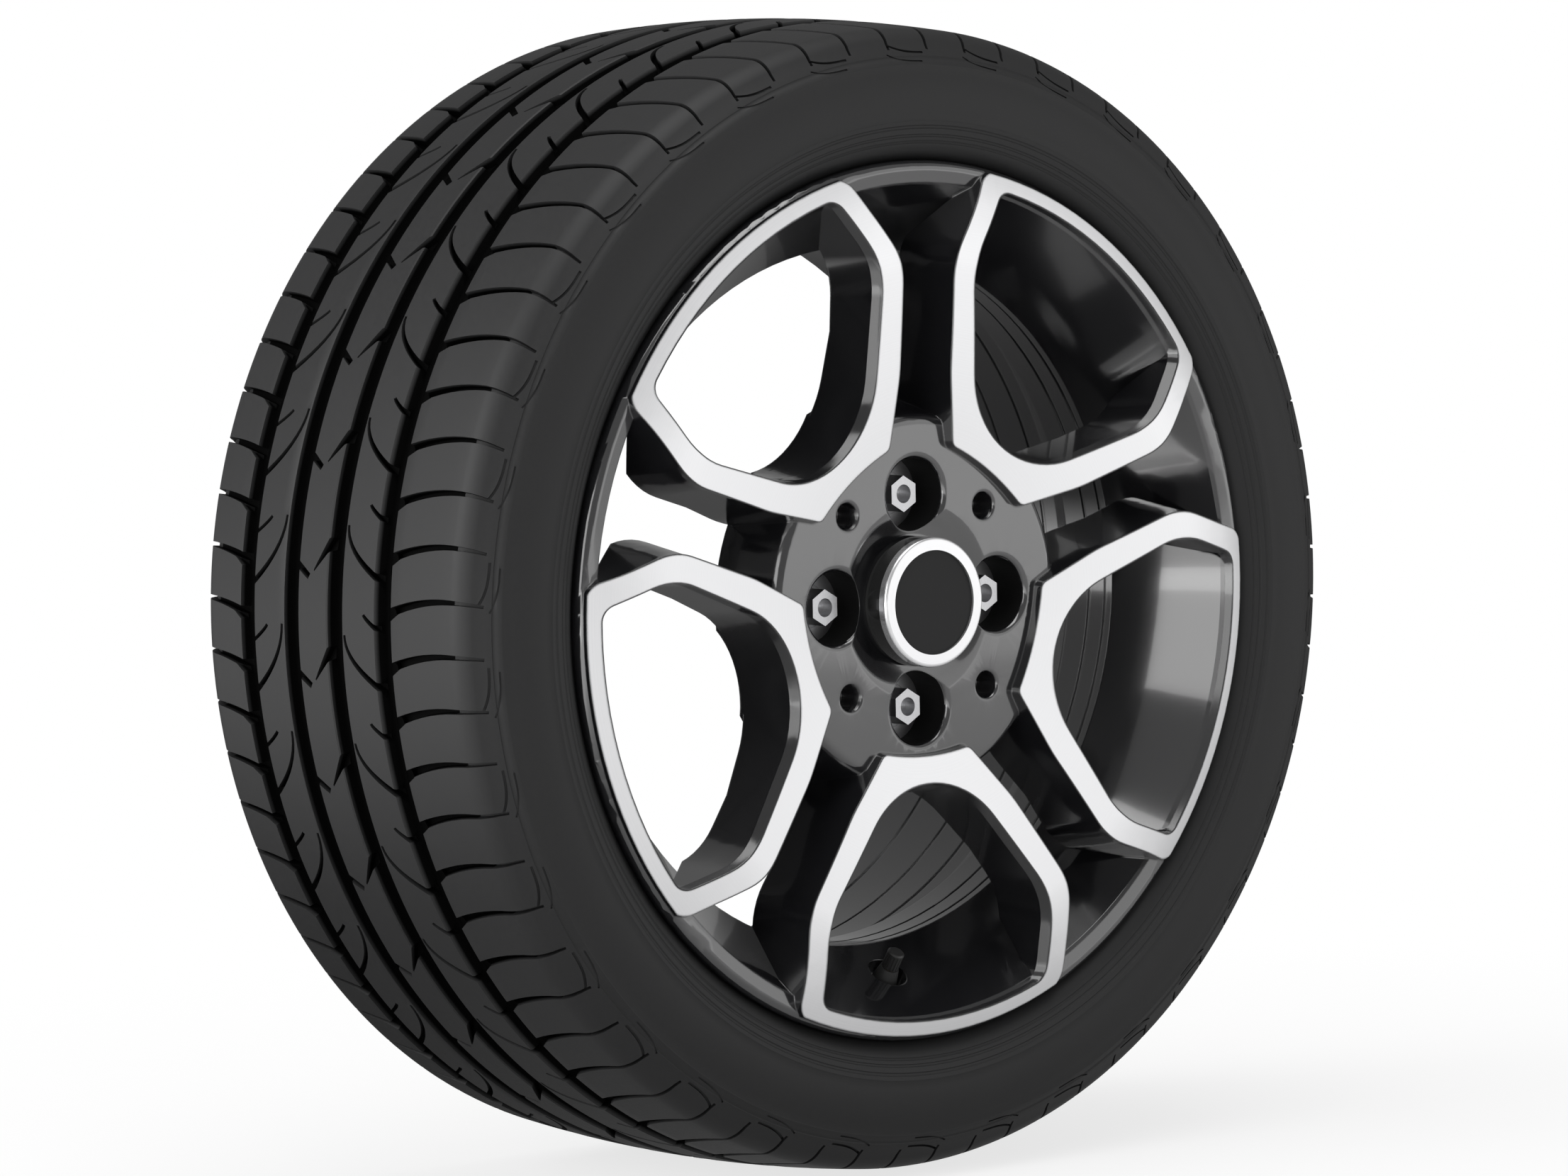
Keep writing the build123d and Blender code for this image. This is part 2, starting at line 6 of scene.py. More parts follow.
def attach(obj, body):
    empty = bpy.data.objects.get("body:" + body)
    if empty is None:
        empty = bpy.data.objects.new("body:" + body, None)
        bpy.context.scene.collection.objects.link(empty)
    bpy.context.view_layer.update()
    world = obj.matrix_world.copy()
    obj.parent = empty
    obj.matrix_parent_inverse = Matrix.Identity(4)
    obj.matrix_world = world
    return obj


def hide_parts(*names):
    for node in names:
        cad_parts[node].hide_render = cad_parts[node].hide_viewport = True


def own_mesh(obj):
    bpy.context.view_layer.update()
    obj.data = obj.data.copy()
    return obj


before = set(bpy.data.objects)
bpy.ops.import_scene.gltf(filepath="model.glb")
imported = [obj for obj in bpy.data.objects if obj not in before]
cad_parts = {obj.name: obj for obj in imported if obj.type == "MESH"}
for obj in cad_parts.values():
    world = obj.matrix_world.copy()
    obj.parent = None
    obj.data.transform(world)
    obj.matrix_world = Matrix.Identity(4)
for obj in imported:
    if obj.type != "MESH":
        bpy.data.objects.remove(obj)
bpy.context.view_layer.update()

# Alloy wheel: one aluminium casting, sprayed gloss black all over.
# The rings round the windows are turned bright afterwards, and so is the hub's mounting face.
MM = 0.001


def grain_effect():
    """Node group: a fine speckle on the piece's own coordinates, as a mask from 0 to 1."""
    group = bpy.data.node_groups.new("fine_grain", "ShaderNodeTree")
    group.interface.new_socket("Scale", in_out="INPUT", socket_type="NodeSocketFloat")
    group.interface.new_socket("Mask", in_out="OUTPUT", socket_type="NodeSocketFloat")
    nodes, links = group.nodes, group.links
    inputs, outputs = nodes.new("NodeGroupInput"), nodes.new("NodeGroupOutput")
    place = nodes.new("ShaderNodeTexCoord")
    noise = nodes.new("ShaderNodeTexNoise")
    noise.inputs["Detail"].default_value = 5
    noise.inputs["Roughness"].default_value = 0.6
    links.new(place.outputs["Object"], noise.inputs["Vector"])
    links.new(inputs.outputs["Scale"], noise.inputs["Scale"])
    links.new(noise.outputs["Fac"], outputs.inputs["Mask"])
    return group


fine_grain = grain_effect()


def finish(name, dark, light, roughness, grain, height, sockets):
    """A finish of two near colours stirred by a fine grain, which also moves its gloss and height."""
    material = bpy.data.materials.new(name)
    material.use_nodes = True
    nodes, links = material.node_tree.nodes, material.node_tree.links
    shader = nodes["Principled BSDF"]
    for socket, value in sockets.items():
        shader.inputs[socket].default_value = value
    speckle = nodes.new("ShaderNodeGroup")
    speckle.node_tree = fine_grain
    speckle.inputs["Scale"].default_value = grain
    colour = nodes.new("ShaderNodeMix")
    colour.data_type = "RGBA"
    colour.inputs["A"].default_value = (*dark, 1)
    colour.inputs["B"].default_value = (*light, 1)
    gloss = nodes.new("ShaderNodeMapRange")
    gloss.inputs["To Min"].default_value, gloss.inputs["To Max"].default_value = roughness
    bump = nodes.new("ShaderNodeBump")
    bump.inputs["Strength"].default_value = 1
    bump.inputs["Distance"].default_value = height
    links.new(speckle.outputs["Mask"], colour.inputs["Factor"])
    links.new(speckle.outputs["Mask"], gloss.inputs["Value"])
    links.new(speckle.outputs["Mask"], bump.inputs["Height"])
    links.new(colour.outputs["Result"], shader.inputs["Base Color"])
    links.new(gloss.outputs["Result"], shader.inputs["Roughness"])
    links.new(bump.outputs["Normal"], shader.inputs["Normal"])
    return material


def node_of(material, kind):
    """The first node of one kind in a finish."""
    return next(n for n in material.node_tree.nodes if n.bl_idname == kind)


def radius_from(material):
    """Adds the distance from the wheel's axis to a finish, and gives its socket and the place's."""
    nodes, links = material.node_tree.nodes, material.node_tree.links
    place = nodes.new("ShaderNodeTexCoord")
    flat = nodes.new("ShaderNodeVectorMath")
    flat.operation = "MULTIPLY"
    flat.inputs[1].default_value = (1, 0, 1)
    length = nodes.new("ShaderNodeVectorMath")
    length.operation = "LENGTH"
    links.new(place.outputs["Object"], flat.inputs[0])
    links.new(flat.outputs["Vector"], length.inputs[0])
    return length.outputs["Value"], place.outputs["Object"]


def soften_edges(material, edge):
    """Lets a coat of paint run round the casting's edges instead of breaking off."""
    nodes, links = material.node_tree.nodes, material.node_tree.links
    rounding = nodes.new("ShaderNodeBevel")
    rounding.samples = 8
    rounding.inputs["Radius"].default_value = edge
    links.new(rounding.outputs["Normal"], node_of(material, "ShaderNodeBump").inputs["Normal"])
    return rounding


def facet_walls(material, rounding, height, tilt):
    """Breaks the rings' walls into a narrow facet along the turned face and a wall behind it."""
    nodes, links = material.node_tree.nodes, material.node_tree.links
    depth = nodes.new("ShaderNodeAttribute")
    depth.attribute_name = "behind_face"
    facet = nodes.new("ShaderNodeMapRange")
    facet.inputs["From Min"].default_value, facet.inputs["From Max"].default_value = height, height * 1.08
    facet.inputs["To Min"].default_value, facet.inputs["To Max"].default_value = tilt, 0.0
    lean = nodes.new("ShaderNodeCombineXYZ")
    leaning = nodes.new("ShaderNodeVectorMath")
    leaning.operation = "ADD"
    even_length = nodes.new("ShaderNodeVectorMath")
    even_length.operation = "NORMALIZE"
    links.new(depth.outputs["Fac"], facet.inputs["Value"])
    links.new(facet.outputs["Result"], lean.inputs["Y"])
    links.new(rounding.outputs["Normal"], leaning.inputs[0])
    links.new(lean.outputs["Vector"], leaning.inputs[1])
    links.new(leaning.outputs["Vector"], even_length.inputs[0])
    links.new(even_length.outputs["Vector"], node_of(material, "ShaderNodeBump").inputs["Normal"])


def paint_edges(material, edge, paint):
    """Leaves a thin line of paint round a turned face, where the casting's edge is rounded."""
    nodes, links = material.node_tree.nodes, material.node_tree.links
    shader = nodes["Principled BSDF"]
    rounding = nodes.new("ShaderNodeBevel")
    rounding.samples = 8
    rounding.inputs["Radius"].default_value = edge
    flat = nodes.new("ShaderNodeNewGeometry")
    match = nodes.new("ShaderNodeVectorMath")
    match.operation = "DOT_PRODUCT"
    bare = nodes.new("ShaderNodeMapRange")
    bare.inputs["From Min"].default_value, bare.inputs["From Max"].default_value = 0.93, 0.985
    colour = nodes.new("ShaderNodeMix")
    colour.data_type = "RGBA"
    colour.inputs["A"].default_value = (*paint, 1)
    links.new(rounding.outputs["Normal"], match.inputs[0])
    links.new(flat.outputs["Normal"], match.inputs[1])
    links.new(match.outputs["Value"], bare.inputs["Value"])
    links.new(bare.outputs["Result"], colour.inputs["Factor"])
    links.new(bare.outputs["Result"], shader.inputs["Metallic"])
    links.new(node_of(material, "ShaderNodeMix").outputs["Result"], colour.inputs["B"])
    links.new(colour.outputs["Result"], shader.inputs["Base Color"])


def turned(material, line, depth):
    """Fine lines of a turning tool round the axis, in the height and the gloss of a finish."""
    nodes, links = material.node_tree.nodes, material.node_tree.links
    radius = radius_from(material)[0]
    lines = nodes.new("ShaderNodeTexNoise")
    lines.noise_dimensions = "1D"
    lines.inputs["Scale"].default_value = 1 / line
    lines.inputs["Detail"].default_value = 3
    links.new(radius, lines.inputs["W"])
    bump = node_of(material, "ShaderNodeBump")
    bump.inputs["Distance"].default_value = depth
    links.new(lines.outputs["Fac"], bump.inputs["Height"])
    gloss = node_of(material, "ShaderNodeMapRange")
    links.new(lines.outputs["Fac"], gloss.inputs["Value"])
    colour = node_of(material, "ShaderNodeMix")
    links.new(lines.outputs["Fac"], colour.inputs["Factor"])


wheel_black = finish(
    "wheel_black_paint", (0.006, 0.006, 0.007), (0.010, 0.010, 0.011), (0.10, 0.16), 900, 3e-6,
    {"Coat Weight": 1.0, "Coat Roughness": 0.05, "Specular IOR Level": 0.9},
)
facet_height, facet_tilt = 8.0 * MM, -0.55
facet_walls(wheel_black, soften_edges(wheel_black, 1.4 * MM), facet_height, facet_tilt)
wheel_bright = finish(
    "wheel_turned_face", (0.79, 0.79, 0.80), (0.87, 0.87, 0.88), (0.42, 0.52), 900, 2e-6,
    {"Metallic": 1.0},
)
turned(wheel_bright, 0.5 * MM, 3e-6)
paint_edges(wheel_bright, 2.4 * MM, (0.008, 0.008, 0.009))
wheel_bare = finish(
    "wheel_bare_machined", (0.55, 0.55, 0.56), (0.68, 0.68, 0.69), (0.3, 0.42), 900, 4e-6,
    {"Metallic": 1.0},
)
turned(wheel_bare, 0.5 * MM, 5e-6)
# Painted shade: a duller, darker black for the bolt pockets' walls, standing in for the shade down in the
# pockets
pocket_painted_shade = finish(
    "wheel_pocket_painted_shade", (0.004, 0.004, 0.004), (0.007, 0.007, 0.007), (0.5, 0.65), 900, 3e-6,
    {"Specular IOR Level": 0.1},
)


def arc_centre(a, b, c):
    """Centre of the circle through three points of a section."""
    (ax, ay), (bx, by), (cx, cy) = a, b, c
    d = 2 * (ax * (by - cy) + bx * (cy - ay) + cx * (ay - by))
    sa, sb, sc = ax * ax + ay * ay, bx * bx + by * by, cx * cx + cy * cy
    return (
        (sa * (by - cy) + sb * (cy - ay) + sc * (ay - by)) / d,
        (sa * (cx - bx) + sb * (ax - cx) + sc * (bx - ax)) / d,
    )


face_y = -52.0
dome_points = ((70.0, -1.2), (134.5, 6.7), (183.0, 10.3), (212.0, 6.9), (232.9, 0.6))
low_dome, high_dome = arc_centre(*dome_points[:3]), arc_centre(*dome_points[2:])


def dome_height(r):
    """How far the turned face of the rings stands in front of the flange face, at a radius."""
    centre = low_dome if r < dome_points[2][0] else high_dome
    on_arc = dome_points[2]
    size = hypot(on_arc[0] - centre[0], on_arc[1] - centre[1])
    return centre[1] + sqrt(max(size**2 - (r - centre[0]) ** 2, 0))


def bench_copy(node, name):
    """A copy of a solid's mesh as a new piece that stands for it."""
    bpy.ops.object.select_all(action="DESELECT")
    piece = bpy.data.objects.new(name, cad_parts[node].data.copy())
    bpy.context.scene.collection.objects.link(piece)
    piece.data.materials.clear()
    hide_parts(node)
    return piece


def lathe(name, section, steps, closed=False):
    """A solid turned round the wheel's axis from a section of radius and place along the axis."""
    bpy.ops.object.select_all(action="DESELECT")
    bpy.ops.mesh.primitive_plane_add(size=1)
    piece = bpy.context.object
    piece.name = name
    piece.data.clear_geometry()
    count = len(section)
    piece.data.from_pydata(
        [(r * MM, y * MM, 0) for r, y in section],
        [(i, (i + 1) % count) for i in range(count if closed else count - 1)],
        [],
    )
    bpy.ops.object.mode_set(mode="EDIT")
    bpy.ops.mesh.select_all(action="SELECT")
    bpy.ops.mesh.spin(steps=steps, angle=2 * pi, center=(0, 0, 0), axis=(0, 1, 0))
    bpy.ops.mesh.select_all(action="SELECT")
    bpy.ops.mesh.remove_doubles(threshold=1e-6)
    bpy.ops.mesh.normals_make_consistent(inside=False)
    bpy.ops.object.mode_set(mode="OBJECT")
    return piece


def cut_with(piece, cutter):
    """Takes a cutter's shape out of a piece."""
    bpy.ops.object.select_all(action="DESELECT")
    piece.select_set(True)
    bpy.context.view_layer.objects.active = piece
    cut = piece.modifiers.new("cut", "BOOLEAN")
    cut.operation, cut.solver, cut.object = "DIFFERENCE", "MANIFOLD", cutter
    bpy.ops.object.modifier_apply(modifier="cut")
    bpy.data.objects.remove(cutter)


wheel = bench_copy("alloy_rim", "wheel_casting")
bpy.context.view_layer.objects.active = wheel
wheel.select_set(True)
bpy.ops.mesh.customdata_custom_splitnormals_clear()
bpy.ops.object.mode_set(mode="EDIT")
bpy.ops.mesh.select_all(action="SELECT")
bpy.ops.mesh.remove_doubles(threshold=1e-6)
bpy.ops.object.mode_set(mode="OBJECT")

# The mould's round lips at the bolt pockets and small holes, and the soft dish round the cap
hub_y, dish_y, dish_start, dish_end = -47.7, -43.0, 35.9, 53.0
bolt_circle_r, bolt_pocket_r = 57.15, 19.7
small_circle_r, small_hole_r = 68.4, 7.0
proud = 0.06
hub_holes = (
    (4, bolt_circle_r, 0, bolt_pocket_r, 3.2),
    (4, small_circle_r, 45, small_hole_r, 1.8),
)
for count, circle, start, hole_r, lip in hub_holes:
    flare = [
        (hole_r + lip - lip * cos(radians(a)), hub_y + lip - lip * sin(radians(a)))
        for a in range(0, 91, 15)
    ]
    flare[0] = (hole_r - proud, hub_y + lip)
    section = [(0, hub_y + lip)] + flare + [(hole_r + lip, hub_y - proud), (0, hub_y - proud)]
    for i in range(count):
        angle = radians(start + 360 * i / count)
        tool = lathe("lip_tool", section, 72)
        tool.data.transform(Matrix.Translation((circle * MM * cos(angle), 0, circle * MM * sin(angle))))
        cut_with(wheel, tool)
flow = []
for i in range(13):
    t = i / 12
    rise = t * t * (3 - 2 * t)
    flow.append((dish_start + (dish_end - dish_start) * t, dish_y + (hub_y - dish_y) * rise))
section = [(0, dish_y)] + flow + [(dish_end, hub_y - proud), (0, hub_y - proud)]
cut_with(wheel, lathe("dish_tool", section, 120))

# Fine turned steps inside the barrel
well_r, barrel_r, step_depth, step_reach = 188.5, 202.0, 0.7, 2
barrel_steps = (
    (well_r, 9.0, 1.6), (well_r, 22.0, 1.6),
    (barrel_r, 72.0, 2.0), (barrel_r, 96.0, 1.6), (barrel_r, 128.0, 2.0),
)
for inner_r, y, width in barrel_steps:
    step = [
        (inner_r - step_reach, y - width), (inner_r + step_depth, y - width / 2),
        (inner_r + step_depth, y + width / 2), (inner_r - step_reach, y + width),
    ]
    cut_with(wheel, lathe("step_tool", step, 240, closed=True))
wheel.data.materials.clear()
for face in wheel.data.polygons:
    face.material_index = 0
bpy.ops.object.shade_smooth_by_angle(angle=radians(28))
even_faces = wheel.modifiers.new("even_faces", "WEIGHTED_NORMAL")
even_faces.keep_sharp = True
bpy.ops.object.modifier_apply(modifier="even_faces")

# The barrel is turned, so its shading follows the axis without a kink from facet to facet
barrel_from, cross_limit = 180.0 * MM, 0.05
normals = [Vector(corner.vector) for corner in wheel.data.corner_normals]
for face in wheel.data.polygons:
    out = Vector((face.center.x, 0, face.center.z)).normalized()
    round_about = Vector((-out.z, 0, out.x))
    if hypot(face.center.x, face.center.z) < barrel_from or abs(face.normal.dot(round_about)) > cross_limit:
        continue
    for corner in face.loop_indices:
        place = wheel.data.vertices[wheel.data.loops[corner].vertex_index].co
        round_about = Vector((-place.z, 0, place.x)).normalized()
        level = normals[corner] - round_about * normals[corner].dot(round_about)
        normals[corner] = level.normalized()
wheel.data.normals_split_custom_set(normals)
for material in (wheel_black, wheel_bright, wheel_bare, pocket_painted_shade):
    wheel.data.materials.append(material)
window_count, window_angle, window_r, dome_end_r = 5, 54.0, 165.0, 233.0
window_spots = [
    Vector((cos(radians(a)), 0, sin(radians(a)))) * window_r * MM
    for a in (window_angle + 360 * i / window_count for i in range(window_count))
]
behind = wheel.data.attributes.new("behind_face", "FLOAT", "CORNER")
for face in wheel.data.polygons:
    spot = min(window_spots, key=lambda c: (c - face.center).length)
    faces_window = face.normal.dot(spot - face.center) > 0 and abs(face.normal.y) < 0.6
    for corner in face.loop_indices:
        place = wheel.data.vertices[wheel.data.loops[corner].vertex_index].co
        ring_r = min(hypot(place.x, place.z) / MM, dome_end_r)
        depth = place.y - (face_y - dome_height(ring_r)) * MM
        behind.data[corner].value = depth if faces_window else 1.0

# Which finish each face has: turned rings, bare mounting face, bore and seats, and pocket walls in a dull
# black that paints the shade down in the pockets
ring_start_r, ring_rim_r, face_slack = 69.9, 233.0, 0.25
pad_r, bore_r, bore_y, seat_y, pocket_y = 75.2, 33.3, -22.1, -24.0, -45.5


def in_pocket_wall(c):
    """Whether a point lies on the wall of one of the four bolt pockets."""
    from_bolt = min(hypot(abs(c.x) - bolt_circle_r, c.z), hypot(c.x, abs(c.z) - bolt_circle_r))
    return abs(from_bolt - bolt_pocket_r) < 0.2 and (seat_y - 0.1 > c.y > pocket_y or abs(c.y - seat_y) < 0.1)


for face in wheel.data.polygons:
    corners = [wheel.data.vertices[v].co / MM for v in face.vertices]
    radii = [hypot(c.x, c.z) for c in corners]
    if all(
        ring_start_r < r < ring_rim_r and abs(face_y - dome_height(r) - c.y) < face_slack
        for r, c in zip(radii, corners)
    ):
        face.material_index = 1
    elif all(c.y > bore_y and r < pad_r for r, c in zip(radii, corners)) and (
        all(c.y > -0.01 for c in corners) or max(radii) < bore_r
    ):
        face.material_index = 2
    elif all(abs(c.y - seat_y) < 0.05 and r < pad_r + 2 for r, c in zip(radii, corners)):
        face.material_index = 2
    elif all(in_pocket_wall(c) for c in corners):
        face.material_index = 3
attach(wheel, "wheel")

# Tyre: one moulding of black rubber, pressed into the tread pattern by its mould.
# Four grooves run round it, and slim cuts divide the ribs between them.
rim_centre = 69.5
tyre_r, tread_half, tread_drop = 311.0, 100.0, 5.0
shoulder_r, shoulder_half, shoulder_bulge = 297.6, 111.7, 1.25
section_r, section_half = 268.0, 124.0
protector_r, protector_half = 242.5, 119.5
groove_depth, groove_width, groove_draft = 7.5, 12.6, 1.2
groove_places = (-49.5, -10.0, 27.5, 67.5)
groove_edge = 0.7


def arc(a, b, c, steps):
    """Points along the arc from a through b towards c, without c itself."""
    x, y = arc_centre(a, b, c)
    size = hypot(a[0] - x, a[1] - y)
    start, end = atan2(a[1] - y, a[0] - x), atan2(c[1] - y, c[0] - x)
    turn = (end - start + pi) % (2 * pi) - pi
    return [
        (x + size * cos(start + turn * i / steps), y + size * sin(start + turn * i / steps))
        for i in range(steps)
    ]


crown_r = (tread_half**2 + tread_drop**2) / (2 * tread_drop)


def crown(half):
    """Radius of the tread's surface at a distance from its centre line."""
    return tyre_r - crown_r + sqrt(crown_r**2 - half**2)


shoulder_mid = (
    (shoulder_r + tyre_r - tread_drop) / 2 + shoulder_bulge,
    (shoulder_half + tread_half) / 2 + shoulder_bulge,
)
shoulder_arc = arc(
    (tyre_r - tread_drop, tread_half), shoulder_mid, (shoulder_r, shoulder_half), 8
)
side_points = (shoulder_r, shoulder_half), (section_r, section_half), (protector_r, protector_half)
side_centre = arc_centre(*side_points)
side_size = hypot(shoulder_r - side_centre[0], shoulder_half - side_centre[1])


def side(r, relief=0.0):
    """A point of the sidewall at a radius, sunk by a relief."""
    half = side_centre[1] + sqrt(side_size**2 - (r - side_centre[0]) ** 2)
    return (r, half - relief)


side_stations = (
    (297.6, 0), (294, 0), (291.2, 0), (290.6, 0.5), (289.4, 0.5), (288.8, 0), (286.4, 0),
    (285.6, 0.45), (281, 0.45), (276, 0.45), (271, 0.45), (266, 0.45), (261, 0.45), (257.2, 0.45),
    (256.4, 0), (254.4, 0), (253.8, 0.5), (252.8, 0.5), (252.2, 0), (249.6, 0), (249.1, 0.45),
    (248.3, 0.45), (247.8, 0), (246.2, 0), (245.7, 0.45), (244.9, 0.45), (244.4, 0),
)
bead_r, flange_top_r, flange_round, rim_half = 218.3, 235.6, 5.0, 107.95
hook_r, hook_half, hook_reach = flange_top_r - flange_round, rim_half + flange_round, 5.1
toe = (216.65, rim_half - 20.0)
side_section = (
    shoulder_arc
    + [side(*station) for station in side_stations]
    + [(protector_r, protector_half), (hook_r + hook_reach, hook_half)]
    + [
        (hook_r + hook_reach * cos(radians(a)), hook_half - hook_reach * sin(radians(a)))
        for a in (30, 60, 90)
    ]
    + [(bead_r + 0.1, rim_half - 0.1), toe, (bead_r + 11.0, toe[1] + 3.0)]
    + arc((bead_r + 11.0, toe[1] + 3.0), (section_r, section_half - 10.5), (289.0, 98.0), 10)[1:]
    + [(289.0, 98.0)]
)
tread_section = []
stops = [-tread_half, *groove_places, tread_half]
for left, right in zip(stops, stops[1:]):
    mouth = groove_width / 2
    first = left + mouth + groove_edge if left in groove_places else left
    last = right - mouth - groove_edge if right in groove_places else right
    steps = max(2, round((last - first) / 7))
    for i in range(steps + 1):
        half = first + (last - first) * i / steps
        if abs(half) < tread_half:
            tread_section.append((crown(half), half))
    if right in groove_places:
        floor = tyre_r - groove_depth - tread_drop * (right / tread_half) ** 2
        for way in (-1, 1):
            row = [
                (crown(right) - groove_edge * 0.8, right + way * (mouth - 0.05)),
                (floor + 1.4, right + way * (mouth - groove_draft + 0.15)),
                (floor, right + way * (mouth - groove_draft - 1.1)),
            ]
            tread_section += row if way < 0 else row[::-1]
liner = arc((289.0, -98.0), (tyre_r - 13.5, 0), (289.0, 98.0), 12)[1:]
section = (
    tread_section
    + side_section
    + liner[::-1]
    + [(r, -half) for r, half in reversed(side_section)]
)

tyre = lathe("tyre_rubber_moulding", [(r, rim_centre + half) for r, half in section], 272, closed=True)

# The pattern of the tread, cut by slim blades that follow the surface
surface = [(crown(i * 2.0), i * 2.0) for i in range(50)] + shoulder_arc
surface += [side(shoulder_r - 2.0 * i) for i in range(26)]
run = [0.0]
for (r0, h0), (r1, h1) in zip(surface, surface[1:]):
    run.append(run[-1] + hypot(r1 - r0, h1 - h0))


def on_surface(s):
    """Radius, half width and outward normal of the tyre's outside, by the distance round its section."""
    way = 1 if s >= 0 else -1
    i = min(max(k for k in range(len(run)) if run[k] <= abs(s)), len(run) - 2)
    (r0, h0), (r1, h1) = surface[i], surface[i + 1]
    t = (abs(s) - run[i]) / (run[i + 1] - run[i])
    length = hypot(r1 - r0, h1 - h0)
    return r0 + (r1 - r0) * t, way * (h0 + (h1 - h0) * t), (h1 - h0) / length, way * (r0 - r1) / length


def blade(name, path, width, depth, count, cuts=9):
    """A set of blades round the tyre. path gives the distance round the section and the angle by t."""
    look, above, slimmer = 0.02, 3.0, 0.25
    bpy.ops.object.select_all(action="DESELECT")
    bpy.ops.mesh.primitive_cube_add(size=1)
    cutter = bpy.context.object
    cutter.name = name
    bpy.ops.object.mode_set(mode="EDIT")
    bpy.ops.mesh.select_all(action="DESELECT")
    bpy.ops.object.mode_set(mode="OBJECT")
    for edge in cutter.data.edges:
        a, b = (cutter.data.vertices[v].co for v in edge.vertices)
        edge.select = abs(a.x - b.x) > 0.5
    bpy.ops.object.mode_set(mode="EDIT")
    bpy.ops.mesh.subdivide(number_cuts=cuts)
    bpy.ops.object.mode_set(mode="OBJECT")
    for vertex in cutter.data.vertices:
        t, across, up = vertex.co.x + 0.5, vertex.co.y, vertex.co.z + 0.5
        s, angle = path(t)
        s0, a0 = path(max(t - look, 0))
        s1, a1 = path(min(t + look, 1))
        along_s, along_a = s1 - s0, radians(a1 - a0) * tyre_r
        length = hypot(along_s, along_a)
        wide = width(t) * (1.0 - slimmer * (1 - up))
        s += -across * wide * along_a / length
        angle += across * wide * along_s / length / tyre_r * 180 / pi
        r, half, nr, nh = on_surface(s)
        lift = above * up - depth(t) * (1 - up)
        r, half = r + nr * lift, half + nh * lift
        turn = radians(angle)
        vertex.co = Vector((r * cos(turn), rim_centre + half, r * sin(turn))) * MM
    bpy.ops.object.mode_set(mode="EDIT")
    bpy.ops.mesh.select_all(action="SELECT")
    bpy.ops.mesh.quads_convert_to_tris()
    bpy.ops.mesh.normals_make_consistent(inside=False)
    bpy.ops.object.mode_set(mode="OBJECT")
    copies = cutter.modifiers.new("round", "ARRAY")
    pivot = bpy.data.objects.new("pivot", None)
    bpy.context.scene.collection.objects.link(pivot)
    pivot.rotation_euler = (0, 2 * pi / count, 0)
    bpy.context.view_layer.update()
    copies.count = count
    copies.use_relative_offset = False
    copies.use_object_offset = True
    copies.offset_object = pivot
    bpy.ops.object.modifier_apply(modifier="round")
    bpy.data.objects.remove(pivot)
    return cutter


def sweep(s0, a0, s1, a1, bend=1.0, bow=0.0):
    """A path from one place of the tread to another. It leaves faster with a bend over 1."""
    return lambda t: (
        s0 + (s1 - s0) * (1 - (1 - t) ** bend),
        a0 + (a1 - a0) * t + bow * 4 * t * (1 - t),
    )


def even(value):
    """The same value all along a blade."""
    return lambda t: value


def taper(start, end):
    """A value that changes evenly along a blade."""
    return lambda t: start + (end - start) * t


pitches, long_pitches = 68, 34
tread_cuts = (
    ("outer_cuts", sweep(-56, 183.0, -119, 182.0, 1.0, -0.75), taper(5.4, 2.0), taper(6.4, 2.4), pitches),
    ("inner_cuts", sweep(72, 189.3, 122, 188.2, 1.0, -0.4), taper(5.0, 2.0), taper(6.4, 2.4), pitches),
    ("outer_corners", sweep(-53, 183.35, -64, 182.7), taper(8.5, 2.0), taper(5.4, 0.4), pitches),
    ("inner_corners", sweep(71, 189.6, 82, 188.9), taper(8.5, 2.0), taper(5.4, 0.4), pitches),
    ("outer_panels", sweep(-116, 187.2, -121, 182.8, 3.0), even(1.7), taper(2.0, 1.0), long_pitches),
    ("outer_panel_edges", sweep(-122, 187.9, -126.5, 183.3, 3.0), even(1.2), even(0.8), long_pitches),
    ("inner_panels", sweep(119, 188.1, 123, 183.7, 3.0), even(1.7), taper(2.0, 1.0), long_pitches),
    ("inner_panel_edges", sweep(124, 188.8, 128.5, 184.2, 3.0), even(1.2), even(0.8), long_pitches),
    ("outer_rib", sweep(-46, 185.3, -18.4, 180.2, 2.0), taper(4.4, 2.0), taper(6.0, 3.5), long_pitches),
    ("outer_rib_short", sweep(-46, 179.6, -34, 178.1, 1.3), taper(3.4, 2.4), taper(4.5, 3.5), long_pitches),
    ("inner_rib", sweep(64, 186.6, 35.6, 179.6, 2.0), taper(3.8, 2.2), taper(5.5, 3.0), long_pitches),
    ("inner_rib_short", sweep(64, 181.7, 49, 179.8, 1.2), even(2.4), taper(4.5, 3.5), long_pitches),
    ("centre_front", sweep(-6, 181.8, 8, 184.8, 1.0), taper(6.4, 1.0), taper(5.5, 3.0), long_pitches),
    ("centre_back", sweep(24, 184.0, 12, 185.4, 1.0), taper(4.8, 4.0), taper(5.5, 4.5), long_pitches),
)
for name, path, width, depth, count in tread_cuts:
    cut_with(tyre, blade(name, path, width, depth, count))

# The cuts leave many slivers, which are merged where the surface stays the same
most_triangles = 190000
thin = tyre.modifiers.new("thin", "DECIMATE")
thin.ratio = most_triangles / sum(len(face.vertices) - 2 for face in tyre.data.polygons)
bpy.ops.object.modifier_apply(modifier="thin")
tyre.data.materials.clear()
for face in tyre.data.polygons:
    face.material_index = 0
bpy.ops.object.shade_smooth_by_angle(angle=radians(32))
